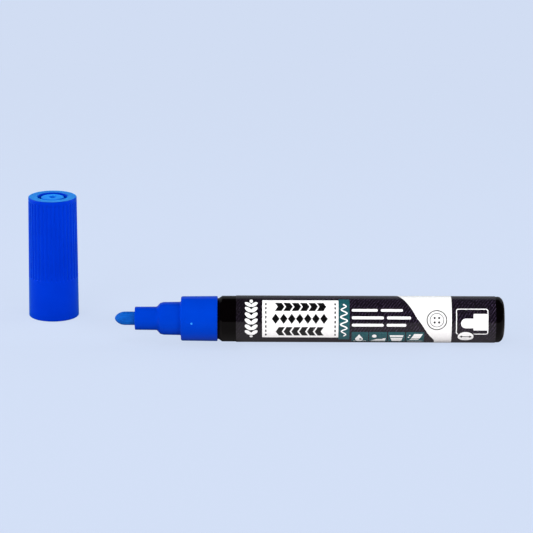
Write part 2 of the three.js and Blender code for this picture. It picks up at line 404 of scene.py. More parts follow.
def make_nib_material():
    """Bonded fibre soaked with paint: long fibres along the axis, and fine pores."""
    m = Surface("nib_fibre")
    fibre = m.noise(scale=1.0, detail=4, rough=0.6, vector=m.mapped(scale=(260, 5200, 5200)))
    pores = m.noise(scale=4200, detail=3, rough=0.6)
    # Fibre and pore shares of the tone.
    tone = m.math("ADD", m.math("MULTIPLY", fibre, 0.65), m.math("MULTIPLY", pores, 0.35))
    colour = m.ramp(tone, [
        (0.30, srgb(0, 48, 132)),
        (0.46, srgb(0, 78, 172)),
        (0.60, srgb(2, 96, 196)),
        (0.78, srgb(26, 128, 222)),
    ])
    grain = m.bump(fibre, strength=0.5, distance=0.00006)
    m.set(
        Base_Color=colour,
        Roughness=m.remap(pores, span=(0.3, 0.7), to=(0.55, 0.85)),
        Normal=m.bump(pores, strength=0.35, distance=0.00004, normal=grain),
        Specular_IOR_Level=0.18,
        Sheen_Weight=0.10,
        Sheen_Roughness=0.5,
        Sheen_Tint=(0.05, 0.4, 1.0, 1.0),
    )
    return m.mat


mat_nib = make_nib_material()


def make_film_material():
    """Printed film: near-black ground with a fine diagonal twill and pale flecks, under gloss varnish."""
    m = Surface("film_dark_twill")
    place = m.split(m.coord)
    # Unroll the film: X along the pen, Y the arc length round it.
    angle = m.math("ARCTAN2", place["Z"], m.math("MULTIPLY", place["Y"], -1.0))
    unrolled = m.add("ShaderNodeCombineXYZ")
    m.feed(unrolled.inputs["X"], place["X"])
    m.feed(unrolled.inputs["Y"], m.math("MULTIPLY", angle, FILM_R * MM))
    flat = unrolled.outputs[0]

    slant = m.mapped(rotation=(0, 0, math.radians(-57)), vector=flat)
    stretched = m.mapped(scale=(900, 3400, 1), vector=slant)
    streak = m.noise(scale=1.0, detail=3, rough=0.6, vector=stretched)
    wave = m.add("ShaderNodeTexWave", wave_type="BANDS", bands_direction="Y")
    m.feed(wave.inputs["Vector"], slant)
    wave.inputs["Scale"].default_value = 360
    wave.inputs["Distortion"].default_value = 0.7
    wave.inputs["Detail"].default_value = 2.0
    wave.inputs["Detail Scale"].default_value = 3.0
    broken = m.remap(streak, span=(0.36, 0.62), to=(0.15, 1.0))
    weave = m.math("MULTIPLY", wave.outputs["Fac"], broken)
    colour = m.ramp(weave, [
        (0.0, srgb(14, 10, 18)),
        (0.30, srgb(22, 16, 27)),
        (0.65, srgb(42, 33, 52)),
        (1.0, srgb(70, 58, 80)),
    ])

    # The twill fades under drifting clouds and towards the nib end.
    cloud = m.noise(scale=110, detail=3, rough=0.6, vector=flat)
    cloud_fade = m.remap(cloud, span=(0.42, 0.68), to=(0.0, 0.5))
    from_nib = m.remap(place["X"], span=(-0.082, -0.056), to=(0.0, 1.0))
    end_fade = m.math("SUBTRACT", 0.72, from_nib, clamp=True)
    colour = m.mix(m.math("MAXIMUM", cloud_fade, end_fade), colour, srgb(17, 14, 18))
    fleck = m.noise(scale=3000, vector=flat)
    fleck_cover = m.remap(fleck, span=(0.66, 0.74), to=(0.0, 0.5))
    colour = m.mix(fleck_cover, colour, srgb(104, 90, 104))
    matt = m.noise(scale=500, detail=3, rough=0.6)
    m.set(
        Base_Color=colour,
        Roughness=m.remap(matt, span=(0.3, 0.7), to=(0.10, 0.17)),
        Normal=m.bump(m.noise(scale=420), strength=0.05, distance=0.00003),
        Specular_IOR_Level=0.46,
    )
    return m.mat


mat_film = make_film_material()


def ink(name, colour, tint):
    """Screen-printed ink: slightly uneven cover and a softer gloss than the film."""
    m = Surface(name)
    cover = m.noise(scale=900, detail=4, rough=0.6)
    matt = m.noise(scale=1800, detail=3, rough=0.6)
    m.set(
        Base_Color=m.mix(m.remap(cover, span=(0.35, 0.7)), srgb(*colour), srgb(*tint)),
        Roughness=m.remap(matt, span=(0.3, 0.7), to=(0.17, 0.30)),
        Normal=m.bump(m.noise(scale=3000), strength=0.06, distance=0.00001),
    )
    return m.mat


WHITE, TEAL, BLACK = "white", "teal", "black"
INKS = {
    WHITE: ink("ink_white", colour=(246, 245, 246), tint=(252, 252, 252)),
    TEAL: ink("ink_teal", colour=(26, 76, 84), tint=(34, 88, 95)),
    BLACK: ink("ink_black", colour=(10, 10, 11), tint=(16, 16, 18)),
}

mat_natural = plastic(
    "natural_plastic", colour=(224, 224, 214), tint=(236, 236, 228),
    rough=0.34, spread=0.05, peel=0.08, peel_scale=900, scatter=0.15,
)
mat_rubber = plastic(
    "seal_rubber", colour=(44, 44, 46), tint=(54, 54, 56),
    rough=0.62, spread=0.08, peel=0.2, peel_scale=2200,
)


def steel(name, rough, drawn):
    """Bright steel. drawn is the scale of the grain along each axis."""
    m = Surface(name)
    grain = m.noise(scale=1.0, detail=3, rough=0.6, vector=m.mapped(scale=drawn))
    m.set(
        Base_Color=m.mix(grain, srgb(176, 178, 182), srgb(206, 208, 212)),
        Roughness=m.remap(grain, span=(0.3, 0.7), to=(rough, rough + 0.12)),
        Normal=m.bump(grain, strength=0.08, distance=0.00001),
        Metallic=1.0,
    )
    return m.mat


mat_wire = steel("spring_wire_steel", rough=0.22, drawn=(900, 3200, 3200))
mat_ball = steel("ball_polished_steel", rough=0.06, drawn=(1400, 1400, 1400))

# ------------------------------------------------------------------ pen body
# Outlines here and below: along the axis, radius and, at a rounded corner, fillet radius.

TAIL_ROUND = (2.1, 3.14)  # axial and radial size of the tail's elliptical edge
BARREL = [
    (-101.99, 5.25), (-101.99, 5.98, 0.25), (-97.2, 5.98, 0.1), (-97.0, 6.08, 0.06),
    (-96.4, 6.08, 0.06), (-96.2, 5.98, 0.1), (-94.0, 5.98, 0.1), (-94.0, 6.58, 0.12),
    (-93.05, 6.60, 0.15), (-91.90, 7.38, 0.45), (-90.6, 7.385, 0.3), (-87.3, BARREL_R),
    (-46.0, BARREL_R), (-4.0, BARREL_R),
]
for k in range(13):
    quarter = math.pi / 2 * k / 12
    BARREL.append((
        TAIL - TAIL_ROUND[0] + TAIL_ROUND[0] * math.sin(quarter),
        BARREL_R - TAIL_ROUND[1] + TAIL_ROUND[1] * math.cos(quarter),
    ))
BARREL += [
    # The tail face, with a dimple at its centre.
    (TAIL - 0.01, 3.6), (TAIL - 0.03, 1.35, 0.1), (TAIL - 0.26, 1.05, 0.12), (TAIL - 0.30, 0.02),
    # The bore, back to the mouth.
    (TAIL - 1.3, 0.02), (TAIL - 1.3, BARREL_BORE, 0.6), (-46.0, BARREL_BORE),
    (-88.5, BARREL_BORE, 0.4), (-90.0, 5.22, 0.4), (-101.99, 5.22),
]
barrel = lathe("barrel_moulding", rounded(BARREL, arc_steps=8), segments=256)
dress(barrel, mat_barrel, "pen", "barrel_plastic", "barrel")


def film_shell():
    """A printed film wrapped once round the barrel, its two ends meeting with a hair of a gap."""
    x_low, x_high = FILM_X
    x_mid = 0.5 * (x_low + x_high)
    inset = 20  # the extra stations stand this far from each end
    edge = 0.035
    bevel = edge * 1.6
    section = [
        (x_low, FILM_BORE), (x_low, FILM_R - edge), (x_low + bevel, FILM_R),
        (x_low + inset, FILM_R), (x_mid, FILM_R), (x_high - inset, FILM_R),
        (x_high - bevel, FILM_R), (x_high, FILM_R - edge), (x_high, FILM_BORE),
        (x_high - inset, FILM_BORE), (x_mid, FILM_BORE), (x_low + inset, FILM_BORE),
    ]
    half_gap = FILM_GAP / FILM_R / 2
    steps = 300
    bm = bmesh.new()
    rows = []
    for k in range(steps + 1):
        angle = FILM_SEAM + half_gap + (TAU - 2 * half_gap) * k / steps
        rows.append([bm.verts.new(on_pen(along, radius, angle)) for along, radius in section])
    bridge(bm, rows)
    bm.faces.new(rows[0])
    bm.faces.new(rows[-1][::-1])
    return finish_mesh("label_film", bm)


dress(film_shell(), mat_film, "pen", "printed_film", "label_sleeve")

COLLAR = [
    (-120.08, 2.32), (-120.12, 2.45, 0.08), (-120.12, 3.75, 0.36), (-113.0, 3.80, 0.75),
    (-111.95, 5.0, 0.55), (-110.9, 5.30, 0.9), (-105.50, 5.39, 0.28), (-105.22, 5.65, 0.12),
    (-105.20, 7.19, 0.55), (-93.55, 7.30, 0.12), (-93.40, 7.12, 0.08), (-93.40, 6.85),
    (-94.30, 6.85), (-94.30, 6.20), (-103.8, 6.20), (-103.8, 4.20, 0.2),
    (-108.5, 4.20, 0.3), (-109.2, 2.32),
]
collar = lathe("front_collar", rounded(COLLAR, arc_steps=9), segments=224)
dress(collar, mat_collar, "pen", "collar_plastic", "front_section")


def gate_pip():
    """A small lens-shaped moulding vestige standing on the collar."""
    angle = math.radians(3.0)
    surface_r, radius, height, count = 7.17, 0.42, 0.12, 28
    # Share of the radius, share of the height.
    lens = [(1.0, -0.06), (1.0, 0.0), (0.96, 0.16), (0.82, 0.48), (0.58, 0.78), (0.3, 0.95)]
    normal = Vector((0, -math.cos(angle), math.sin(angle)))
    side = Vector((0, math.sin(angle), math.cos(angle)))
    centre = Vector((-101.7 + SHIFT, 0, 0)) + normal * surface_r
    bm = bmesh.new()
    rings = []
    for width, rise in lens:
        rings.append([
            bm.verts.new(
                centre + Vector((1, 0, 0)) * (radius * width * math.cos(TAU * k / count))
                + side * (radius * width * math.sin(TAU * k / count)) + normal * (height * rise)
            )
            for k in range(count)
        ])
    rings.append([bm.verts.new(centre + normal * height)])
    bridge(bm, rings)
    bm.faces.new(rings[0][::-1])
    return finish_mesh("collar_gate_pip", bm, sharp_deg=40)


# The pip's lighter blue is a painted highlight.
dress(gate_pip(), mat_gate_highlight, "pen", "collar_plastic")

# ------------------------------------------------------------------ nib

NIB_TIP = -126.6
NIB_DOME = 3.4
NIB_R = 2.2


def nib_profile():
    """A dome, a straight shank and a chamfered hidden end."""
    points = [(NIB_TIP, 0.0)]
    for k in range(1, 27):
        quarter = (math.pi / 2) * k / 26
        along = NIB_TIP + NIB_DOME * (1 - math.cos(quarter))
        points.append((along, NIB_R * math.sin(quarter) ** 1.14))
    x = NIB_TIP + NIB_DOME
    while x < -105.2:
        x += 0.45
        points.append((x, NIB_R))
    points += [(-104.9, NIB_R), (-104.7, NIB_R - 0.12), (-104.6, NIB_R - 0.3), (-104.6, 0.0)]
    return points


def nib_shape(along, radius, angle):
    """Uneven fibre that calms down towards the tip."""
    fade = min(1.0, radius / 1.2)
    across = Vector((math.cos(angle), math.sin(angle)))
    fibre = noise.noise(Vector((along * 0.35, 9 * across.x, 9 * across.y)))
    fine_scale = 6 * radius / NIB_R
    fine = noise.noise(Vector((along * 2.4, fine_scale * across.x, fine_scale * across.y)))
    return max(0.02, radius + fade * (0.016 * fibre + 0.014 * fine) - 0.02)


nib = lathe("nib_fibre_core", nib_profile(), segments=180, shape=nib_shape, sharp_deg=45)
dress(nib, mat_nib, "nib", "nib_felt", "nib")

# ------------------------------------------------------------------ valve, spring, gasket and balls

HOUSING = [
    (-102.70, 2.50), (-102.70, 5.88, 0.15), (-102.10, 5.88, 0.12), (-102.10, 5.05, 0.2),
    (-88.60, 5.05, 0.2), (-88.60, 4.22, 0.12), (-99.70, 4.22, 0.25), (-99.70, 3.60, 0.05),
    (-100.60, 3.60, 0.05), (-100.60, 1.62, 0.1), (-101.20, 1.62, 0.15), (-101.20, 2.50, 0.15),
    (-101.8, 2.50),
]
housing = lathe("valve_housing_moulding", rounded(HOUSING, arc_steps=5), segments=112)
dress(housing, mat_natural, "pen", "natural_plastic", "valve_housing")

SEAL = [
    (-100.10, 3.50), (-99.72, 3.50, 0.1), (-99.72, 1.80, 0.1), (-100.0, 1.52, 0.08),
    (-100.50, 1.52, 0.1), (-100.50, 3.50, 0.1), (-100.3, 3.50),
]
seal = lathe("valve_seal_ring", rounded(SEAL, arc_steps=5), segments=112)
dress(seal, mat_rubber, "pen", "seal_rubber", "valve_seal")

STEM = [
    (-104.50, 0.0), (-104.50, 2.0, 0.25), (-103.72, 2.0, 0.2), (-103.40, 1.08, 0.25),
    (-99.90, 1.08, 0.15), (-99.58, 1.50, 0.1), (-99.58, 2.80, 0.15), (-98.50, 2.80, 0.15),
    (-98.30, 1.13, 0.15), (-87.25, 1.13, 0.3), (-86.92, 0.80, 0.15), (-86.90, 0.0),
]
stem = lathe("valve_stem_moulding", rounded(STEM, arc_steps=5), segments=96)
dress(stem, mat_natural, "valve", "natural_plastic", "valve_stem")


def spring_wire():
    """A compression spring: a round wire coiled about X with its first and last turns closed."""
    x_low, x_high = -98.05, -90.45
    coil_r, wire_r = 1.95, 0.22
    turns = 6.5
    closed_rise = 0.5  # travel along X in the first turn and in the last
    steps, sides = int(turns * 64), 14

    def travel(turn):
        if turn <= 1:
            return closed_rise * turn
        if turn >= turns - 1:
            return (x_high - x_low) - closed_rise * (turns - turn)
        open_rise = (x_high - x_low) - 2 * closed_rise
        return closed_rise + (turn - 1) / (turns - 2) * open_rise

    bm = bmesh.new()
    rings = []
    for k in range(steps + 1):
        share = k / steps
        angle = TAU * turns * share
        radial = Vector((0, -math.cos(angle), math.sin(angle)))
        centre = Vector((x_low + travel(share * turns) + SHIFT, 0, 0)) + radial * coil_r
        thick = wire_r * (0.82 if k in (0, steps) else 1.0)  # slightly tapered wire ends
        rings.append([
            bm.verts.new(centre + Vector((1, 0, 0)) * (thick * math.cos(TAU * j / sides))
                         + radial * (thick * math.sin(TAU * j / sides)))
            for j in range(sides)
        ])
    bridge(bm, rings)
    bm.faces.new(rings[0])
    bm.faces.new(rings[-1][::-1])
    return finish_mesh("valve_spring_wire", bm, sharp_deg=50)


spring = dress(spring_wire(), mat_wire, "pen", "spring_steel", "valve_spring")
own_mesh(spring)


def retainer_disc():
    """A flat disc about X with a centre bore and a ring of flow holes."""
    x_low, x_high = -90.2, -88.9
    outer, bore = 4.1, 1.36
    hole_r, pitch_r, hole_count, phase = 0.64, 2.8, 5, 0.3
    holes = []
    for k in range(hole_count):
        angle = TAU * k / hole_count + phase
        holes.append((pitch_r * math.cos(angle), pitch_r * math.sin(angle)))
    points, edges = [], []

    def circle(centre_y, centre_z, radius, count):
        start = len(points)
        for k in range(count):
            angle = TAU * k / count
            points.append(Vector((centre_y + radius * math.cos(angle),
                                  centre_z + radius * math.sin(angle))))
            edges.append((start + k, start + (k + 1) % count))

    circle(0, 0, outer, 96)
    circle(0, 0, bore, 48)
    for y, z in holes:
        circle(y, z, hole_r, 28)
    flat, _, faces, _, _, _ = delaunay_2d_cdt(points, edges, [], 0, 1e-6)

    def solid(centre):
        if not bore * 0.999 < math.hypot(centre.x, centre.y) < outer:
            return False
        return all(math.hypot(centre.x - y, centre.y - z) > hole_r * 0.995 for y, z in holes)

    bm = bmesh.new()
    low = [bm.verts.new((x_low + SHIFT, point.x, point.y)) for point in flat]
    high = [bm.verts.new((x_high + SHIFT, point.x, point.y)) for point in flat]
    directed = {}  # directed edges in order of use, as keys
    for face in faces:
        if not solid(sum((flat[i] for i in face), Vector((0, 0))) / len(face)):
            continue
        bm.faces.new([low[i] for i in face])
        bm.faces.new([high[i] for i in reversed(face)])
        directed.update(dict.fromkeys(zip(face, list(face[1:]) + [face[0]])))
    for i, j in directed:
        if (j, i) not in directed:
            bm.faces.new((low[i], low[j], high[j], high[i]))
    loose = [vert for vert in bm.verts if not vert.link_faces]
    bmesh.ops.delete(bm, geom=loose, context="VERTS")
    return finish_mesh("spring_retainer_disc", bm)


dress(retainer_disc(), mat_natural, "pen", "natural_plastic", "spring_retainer")

GASKET = [
    (-103.3, 5.88), (-102.82, 5.88, 0.2), (-102.82, 4.42, 0.2), (-103.70, 4.42, 0.2),
    (-103.70, 5.88, 0.2), (-103.5, 5.88),
]
gasket = lathe("neck_gasket_ring", rounded(GASKET, arc_steps=5), segments=112)
dress(gasket, mat_rubber, "pen", "seal_rubber", "neck_gasket")

BALL_R = 2.4
BALL_Z = -3.55


def steel_ball(name, x):
    """A ball with nine faint dents."""
    bm = bmesh.new()
    bmesh.ops.create_icosphere(bm, subdivisions=5, radius=BALL_R)
    rng = random.Random(7)
    marks = [
        Vector((rng.gauss(0, 1), rng.gauss(0, 1), rng.gauss(0, 1))).normalized()
        for _ in range(9)
    ]
    for vert in bm.verts:
        outward = vert.co.normalized()
        dent = sum(max(0.0, outward.dot(mark) - 0.985) for mark in marks)
        vert.co = outward * (BALL_R - 0.4 * dent) + Vector((x + SHIFT, 0, BALL_Z))
    return finish_mesh(name, bm, sharp_deg=60)


for end, ball_x in (("front", -74), ("rear", -53.4)):
    ball = steel_ball(f"mixing_ball_{end}_steel", ball_x)
    dress(ball, mat_ball, f"{end}_ball", "ball_steel", f"mixing_ball_{end}")

# ------------------------------------------------------------------ cap

CAP_R = 8.25  # at the mouth
CAP_DRAFT = 0.3  # lost from the radius between the mouth and the crown
RIBS = 36
RIB_LOW, RIB_HIGH = 13.35, 39.45
RIB_FADE_LOW, RIB_FADE_HIGH = 0.35, 0.3  # length over which the grooves run out at each end
RIB_DEPTH = 0.19


def smooth(low, high, value):
    share = max(0.0, min(1.0, (value - low) / (high - low)))
    return share * share * (3 - 2 * share)


def draft(z):
    return CAP_R - CAP_DRAFT * z / CAP_H


def cap_shape(along, radius, angle):
    """Cuts the grooves between the ribs into the outer wall."""
    if radius < 7.6 or along < 9 or along > 40.0:
        return radius
    from_groove = abs((angle * RIBS / TAU) % 1.0 - 0.5)
    valley = smooth(0.22, 0.37, from_groove)
    ends = (smooth(RIB_LOW, RIB_LOW + RIB_FADE_LOW, along)
            * (1 - smooth(RIB_HIGH - RIB_FADE_HIGH, RIB_HIGH, along)))
    return radius - RIB_DEPTH * valley * ends


wall_z = [2.5, 5.0, 7.5, 10.0, 12.0, 13.0]
wall_z += [RIB_LOW + RIB_FADE_LOW * k / 5 for k in range(6)]
wall_z += range(15, 39, 2)
wall_z += [RIB_HIGH - RIB_FADE_HIGH + RIB_FADE_HIGH * k / 5 for k in range(6)]
wall_z.append(39.8)
CAP_SHELL = [
    (0.0, 7.62), (0.0, 8.0, 0.1), (0.25, CAP_R, 0.2),
    *((z, draft(z)) for z in wall_z),
    (CAP_H, CAP_R - CAP_DRAFT, 0.42), (CAP_H, 7.3), (CAP_H, 4.97, 0.14), (39.22, 4.95),
    (39.2, 6.85, 0.1), (37.9, 6.85, 0.1), (37.6, 6.46, 0.1), (37.3, 6.46, 0.1),
    (37.0, 6.85, 0.1), (25.0, 6.85), (13.4, 6.85, 0.15), (13.0, 7.4, 0.15),
    (0.35, 7.45, 0.1), (0.0, 7.6),
]
cap = lathe("cap_ribbed_shell", rounded(CAP_SHELL, arc_steps=7), segments=RIBS * 16,
            place=on_cap, shape=cap_shape, sharp_deg=50)
dress(cap, mat_cap, "cap", "cap_plastic", "cap_shell")

CAP_SEAL = [
    (21.0, 4.26), (21.0, 4.9, 0.2), (37.9, 4.9, 0.3), (38.0, 6.7, 0.1),
    (39.1, 6.7, 0.1), (39.1, 3.86, 0.15), (40.4, 3.8, 0.22), (40.4, 1.15, 0.25),
    (39.85, 0.9, 0.2), (39.8, 0.02), (36.0, 0.02), (36.0, 2.6, 0.2),
    (34.6, 3.85, 0.4), (21.6, 3.85, 0.1), (21.02, 4.22),
]
cap_seal = lathe("cap_plug_and_seal", rounded(CAP_SEAL, arc_steps=7), segments=160, place=on_cap)
dress(cap_seal, mat_seal, "cap", "cap_plastic", "cap_inner_seal")

# ------------------------------------------------------------------ label drawing tools
# Flat layout: x along the pen, s the arc length round it in mm, 0 level with the axis on the near
# side and growing upwards. Later shapes cover earlier ones, and BARE wipes back to the film.

BARE = None
ink_shapes = []


def stamp(colour, *outlines):
    ink_shapes.extend((colour, outline) for outline in outlines)


def rect(x_low, x_high, s_low, s_high):
    return [(x_low, s_low), (x_high, s_low), (x_high, s_high), (x_low, s_high)]


def round_rect(x_low, x_high, s_low, s_high, radius, steps):
    outline = []
    for x, s, start in (
        (x_high - radius, s_high - radius, 0),
        (x_low + radius, s_high - radius, 90),
        (x_low + radius, s_low + radius, 180),
        (x_high - radius, s_low + radius, 270),
    ):
        for k in range(steps + 1):
            angle = math.radians(start + 90 * k / steps)
            outline.append((x + radius * math.cos(angle), s + radius * math.sin(angle)))
    return outline


def oval(x, s, x_radius, s_radius, count):
    return [
        (x + x_radius * math.cos(TAU * k / count), s + s_radius * math.sin(TAU * k / count))
        for k in range(count)
    ]


def dot(x, s, radius, count):
    return oval(x, s, radius, radius, count)


def turned(points, x_pivot, s_pivot, degrees):
    cos, sin = math.cos(math.radians(degrees)), math.sin(math.radians(degrees))
    return [
        (x_pivot + (x - x_pivot) * cos - (s - s_pivot) * sin,
         s_pivot + (x - x_pivot) * sin + (s - s_pivot) * cos)
        for x, s in points
    ]


def line_strip(points, width):
    """One outline that follows a line of even width."""
    left, right = [], []
    for k, (x, s) in enumerate(points):
        before, after = points[max(0, k - 1)], points[min(len(points) - 1, k + 1)]
        run, rise = after[0] - before[0], after[1] - before[1]
        length = math.hypot(run, rise)
        x_off, s_off = -rise / length * width / 2, run / length * width / 2
        left.append((x + x_off, s + s_off))
        right.append((x - x_off, s - s_off))
    return left + right[::-1]


def bar_row(x_low, x_high, s_low, s_high, breaks):
    """A white bar from x_low to x_high, opened at each (from, to) break."""
    radius = (s_high - s_low) * 0.42
    x = x_low
    for gap_start, gap_end in [*breaks, (x_high, x_high)]:
        if gap_start > x:
            stamp(WHITE, round_rect(x, gap_start, s_low, s_high, radius, 5))
        x = gap_end


# ------------------------------------------------------------------ label drawings


def draw_ear():
    """A bold ear of paired leaves at the nib end."""
    for k in range(6):
        s_mid = 7.15 - 1.95 * k
        for x, tilt in ((-83.45, -38), (-81.55, 38)):
            stamp(WHITE, turned(oval(x, s_mid, 1.32, 0.66, 28), x, s_mid, tilt))
    stamp(WHITE, oval(-82.5, 8.55, 0.55, 0.80, 24), dot(-82.5, -4.25, 0.5, 20))


def chevrons(x_low, x_high, s_low, s_high, mirror=False):
    """A row of bold arrow-shaped blocks that nest into each other."""
    count, gap = 6, 0.55
    lean = (s_high - s_low) * 0.30
    width = (x_high - x_low - lean - gap * (count - 1)) / count
    s_mid = (s_low + s_high) / 2
    for k in range(count):
        x = x_low + k * (width + gap)
        arrow = [(x, s_low), (x + width, s_low), (x + width + lean, s_mid),
                 (x + width, s_high), (x, s_high), (x + lean, s_mid)]
        if mirror:
            arrow = [(x_low + x_high - along, s) for along, s in arrow]
        stamp(BLACK, arrow)


def lozenges(x_low, x_high, s_low, s_high):
    """A row of bold solid diamonds."""
    count, gap = 7, 0.10
    width = (x_high - x_low - gap * (count - 1)) / count
    s_mid, half = (s_low + s_high) / 2, (s_high - s_low) / 2
    for k in range(count):
        x = x_low + width / 2 + k * (width + gap)
        stamp(BLACK, [(x - width / 2, s_mid), (x, s_mid - half),
                      (x + width / 2, s_mid), (x, s_mid + half)])


def draw_title_panel():
    """The white title panel: stitched sides and three rows of bold block shapes."""
    stamp(WHITE, rect(-78.97, -54.48, 9.05, -4.66))
    for x in (-77.80, -55.55):
        for k in range(8):
            s_top = 7.70 - 1.52 * k
            stamp(BLACK, round_rect(x - 0.23, x + 0.23, s_top - 0.88, s_top, 0.12, 3))
    chevrons(-74.9, -58.4, 4.75, 7.8)
    lozenges(-75.9, -57.9, 0.55, 3.85)
    chevrons(-74.6, -59.2, -3.75, -0.5, mirror=True)


def draw_thread_band():
    """A teal band with a running thread and a blob at each end of it."""
    stamp(TEAL, rect(-54.475, -50.92, 9.6, -5.7))
    thread = []
    for k in range(121):
        share = k / 120
        swing = 0.95 * (0.55 + 0.45 * math.sin(math.pi * share)) * (1.15 if k < 100 else 1.0)
        thread.append((-52.72 + swing * math.sin(TAU * 4.5 * share), 7.1 - 11.0 * share))
    stamp(WHITE, line_strip(thread, 0.42))
    stamp(WHITE, dot(thread[0][0], 7.1, 0.36, 16), dot(thread[-1][0], -3.9, 0.21, 12))


def draw_bars():
    """Three rows of plain solid bars."""
    bar_row(-50.2, -33.8, 4.62, 5.52, [(-41.9, -40.9)])
    bar_row(-50.2, -31.2, 2.12, 3.06, [(-39.9, -38.9)])
    bar_row(-50.2, -32.7, -0.26, 0.68, [(-40.0, -39.0)])


def draw_care_tiles():
    """Four teal tiles with care pictures."""
    for x_low, x_high in ((-50.2, -44.85), (-44.55, -38.8), (-38.45, -33.0), (-32.65, -26.9)):
        stamp(TEAL, rect(x_low, x_high, -7.3, -2.2))

    # A drop over a wavy line.
    drop_x, drop_s, drop_r = -47.8, -5.5, 1.25
    drop = [(drop_x, drop_s + 2.35)]
    for k in range(25):
        angle = math.radians(35 - 250 * k / 24)
        drop.append((drop_x + drop_r * math.cos(angle), drop_s + drop_r * math.sin(angle)))
    stamp(WHITE, drop)
    stamp(TEAL, dot(-47.35, drop_s, 0.42, 18))
    wave = [(-49.6, -6.9), (-48.9, -6.6), (-48.0, -6.85), (-47.1, -6.6), (-46.2, -6.85), (-45.5, -6.6)]
    stamp(WHITE, line_strip(wave, 0.22))

    # A disc and a stepped block over a line.
    stamp(
        WHITE,
        dot(-42.9, -3.95, 0.72, 28),
        [(-43.9, -6.5), (-39.4, -6.5), (-39.2, -5.0), (-40.1, -5.0), (-40.3, -5.4), (-42.2, -5.5)],
        rect(-44.0, -39.3, -7.0, -6.75),
    )

    # A tub with a stripe.
    stamp(WHITE, [(-38.0, -3.5), (-33.5, -3.5), (-34.3, -6.8), (-37.2, -6.8)])
    stamp(TEAL, [(-37.75, -4.3), (-33.75, -4.3), (-33.85, -4.7), (-37.65, -4.7)])

    # Two slanted blocks with two dots beside them, over a line.
    stamp(
        WHITE,
        [(-30.1, -2.95), (-27.3, -2.95), (-28.3, -5.1), (-31.1, -5.1)],
        [(-31.3, -5.4), (-28.5, -5.4), (-28.75, -5.85), (-31.55, -5.85)],
        dot(-31.5, -3.55, 0.27, 16),
        dot(-31.9, -4.45, 0.27, 16),
        rect(-32.2, -27.4, -6.95, -6.7),
    )


ROUND = TAU * FILM_R
# The nib-side edge of the white sweep over one turn: s, x.
SWEEP = [
    (-9.75, -24.0), (-6.1, -23.7), (-3.0, -25.6), (0.3, -27.6), (2.6, -29.3), (4.9, -30.6),
    (7.5, -32.2), (11.1, -34.4), (15.5, -36.6), (20.0, -36.2), (24.5, -34.0), (29.0, -30.3),
    (33.5, -26.8),
]


def sweep_edge(s):
    """x of the sweep's edge at s: a cubic through the points, repeating every turn."""
    knots = [(SWEEP[-1][0] - ROUND, SWEEP[-1][1]), *SWEEP]
    knots += [(knot_s + ROUND, knot_x) for knot_s, knot_x in SWEEP[:2]]
    if s < SWEEP[0][0]:
        s += ROUND
    i = next(i for i in range(1, len(knots) - 2) if s < knots[i + 1][0])
    (s_before, x_before), (s_start, x_start), (s_end, x_end), (s_after, x_after) = knots[i - 1:i + 3]
    span = s_end - s_start
    q = (s - s_start) / span
    slope_start = (x_end - x_before) / (s_end - s_before) * span
    slope_end = (x_after - x_start) / (s_after - s_start) * span
    return ((2 * q**3 - 3 * q**2 + 1) * x_start + (q**3 - 2 * q**2 + q) * slope_start
            + (-2 * q**3 + 3 * q**2) * x_end + (q**3 - q**2) * slope_end)


def draw_sweep():
    """The white sweep that closes round the whole sleeve, up to the film's seam."""
    margin = 0.09
    s_low = (FILM_SEAM - TAU) * FILM_R + margin
    s_high = FILM_SEAM * FILM_R - margin
    edge = [(sweep_edge(s), s) for s in np.linspace(s_low, s_high, 150)]
    stamp(WHITE, edge + [(-18.1, s_high), (-18.1, s_low)])


def draw_button():
    """A line drawing of a sewing button on the sweep, with its four holes."""
    x, s = -22.9, 1.9
    for outer, inner in ((3.30, 2.98), (2.30, 2.10)):
        stamp(BLACK, dot(x, s, outer, 56))
        stamp(WHITE, dot(x, s, inner, 56))
    for s_off in (-0.72, 0.72):
        for x_off in (-0.72, 0.72):
            stamp(BLACK, dot(x + x_off, s + s_off, 0.36, 18))


def draw_nib_box():
    """An outline box with the nib picture and a size badge."""
    stamp(WHITE, round_rect(-16.75, -6.35, -3.05, 5.75, 0.75, 6))
    stamp(BARE, round_rect(-16.43, -6.67, -2.73, 5.43, 0.5, 6))
    dome = [
        (-13.6 - 1.55 * math.sin(math.pi * k / 20), 0.85 + 1.6 * math.cos(math.pi * k / 20))
        for k in range(21)
    ]
    stamp(WHITE, [(-10.9, 2.45), *dome, (-10.9, -0.75)])
    stamp(WHITE, round_rect(-11.15, -6.40, -1.50, 4.0, 0.30, 4))
    x, s = -13.55, -4.05
    stamp(BARE, oval(x, s, 2.95, 2.35, 48))
    stamp(WHITE, oval(x, s, 2.55, 1.98, 48))
    stamp(
        BLACK,
        line_strip([(-15.0, s), (-12.1, s)], 0.34),
        [(-15.55, s), (-14.75, -3.5), (-14.75, -4.6)],
        [(-11.55, s), (-12.35, -4.6), (-12.35, -3.5)],
    )


def draw_thin_bars():
    """Thin plain bars over the top to the far side, and underneath."""
    x_low, half, pitch = -84.2, 0.24, 1.45
    for row in range(6):
        s_mid = 15.2 + pitch * row
        breaks = [(-72.4, -71.3), (-64.6, -63.5)][:1 + row % 2]
        bar_row(x_low, x_low + 26.5 - 3.1 * (row % 3), s_mid - half, s_mid + half, breaks)
    for row in range(5):
        s_mid = -12.6 - pitch * row
        breaks = [(-75.4, -74.3), (-67.4, -66.3)][:1 + row % 2]
        bar_row(x_low, x_low + 25.0 - 2.3 * (row % 2), s_mid - half, s_mid + half, breaks)


draw_ear()
draw_title_panel()
draw_thread_band()
draw_bars()
draw_care_tiles()
draw_sweep()
draw_button()
draw_nib_box()
draw_thin_bars()

# ------------------------------------------------------------------ label print

INK_LIFT = 0.012  # the ink reaches this far above and below the film's surface
ROLL_STEP = 0.40  # flat ink is cut at this arc spacing so that it can bend


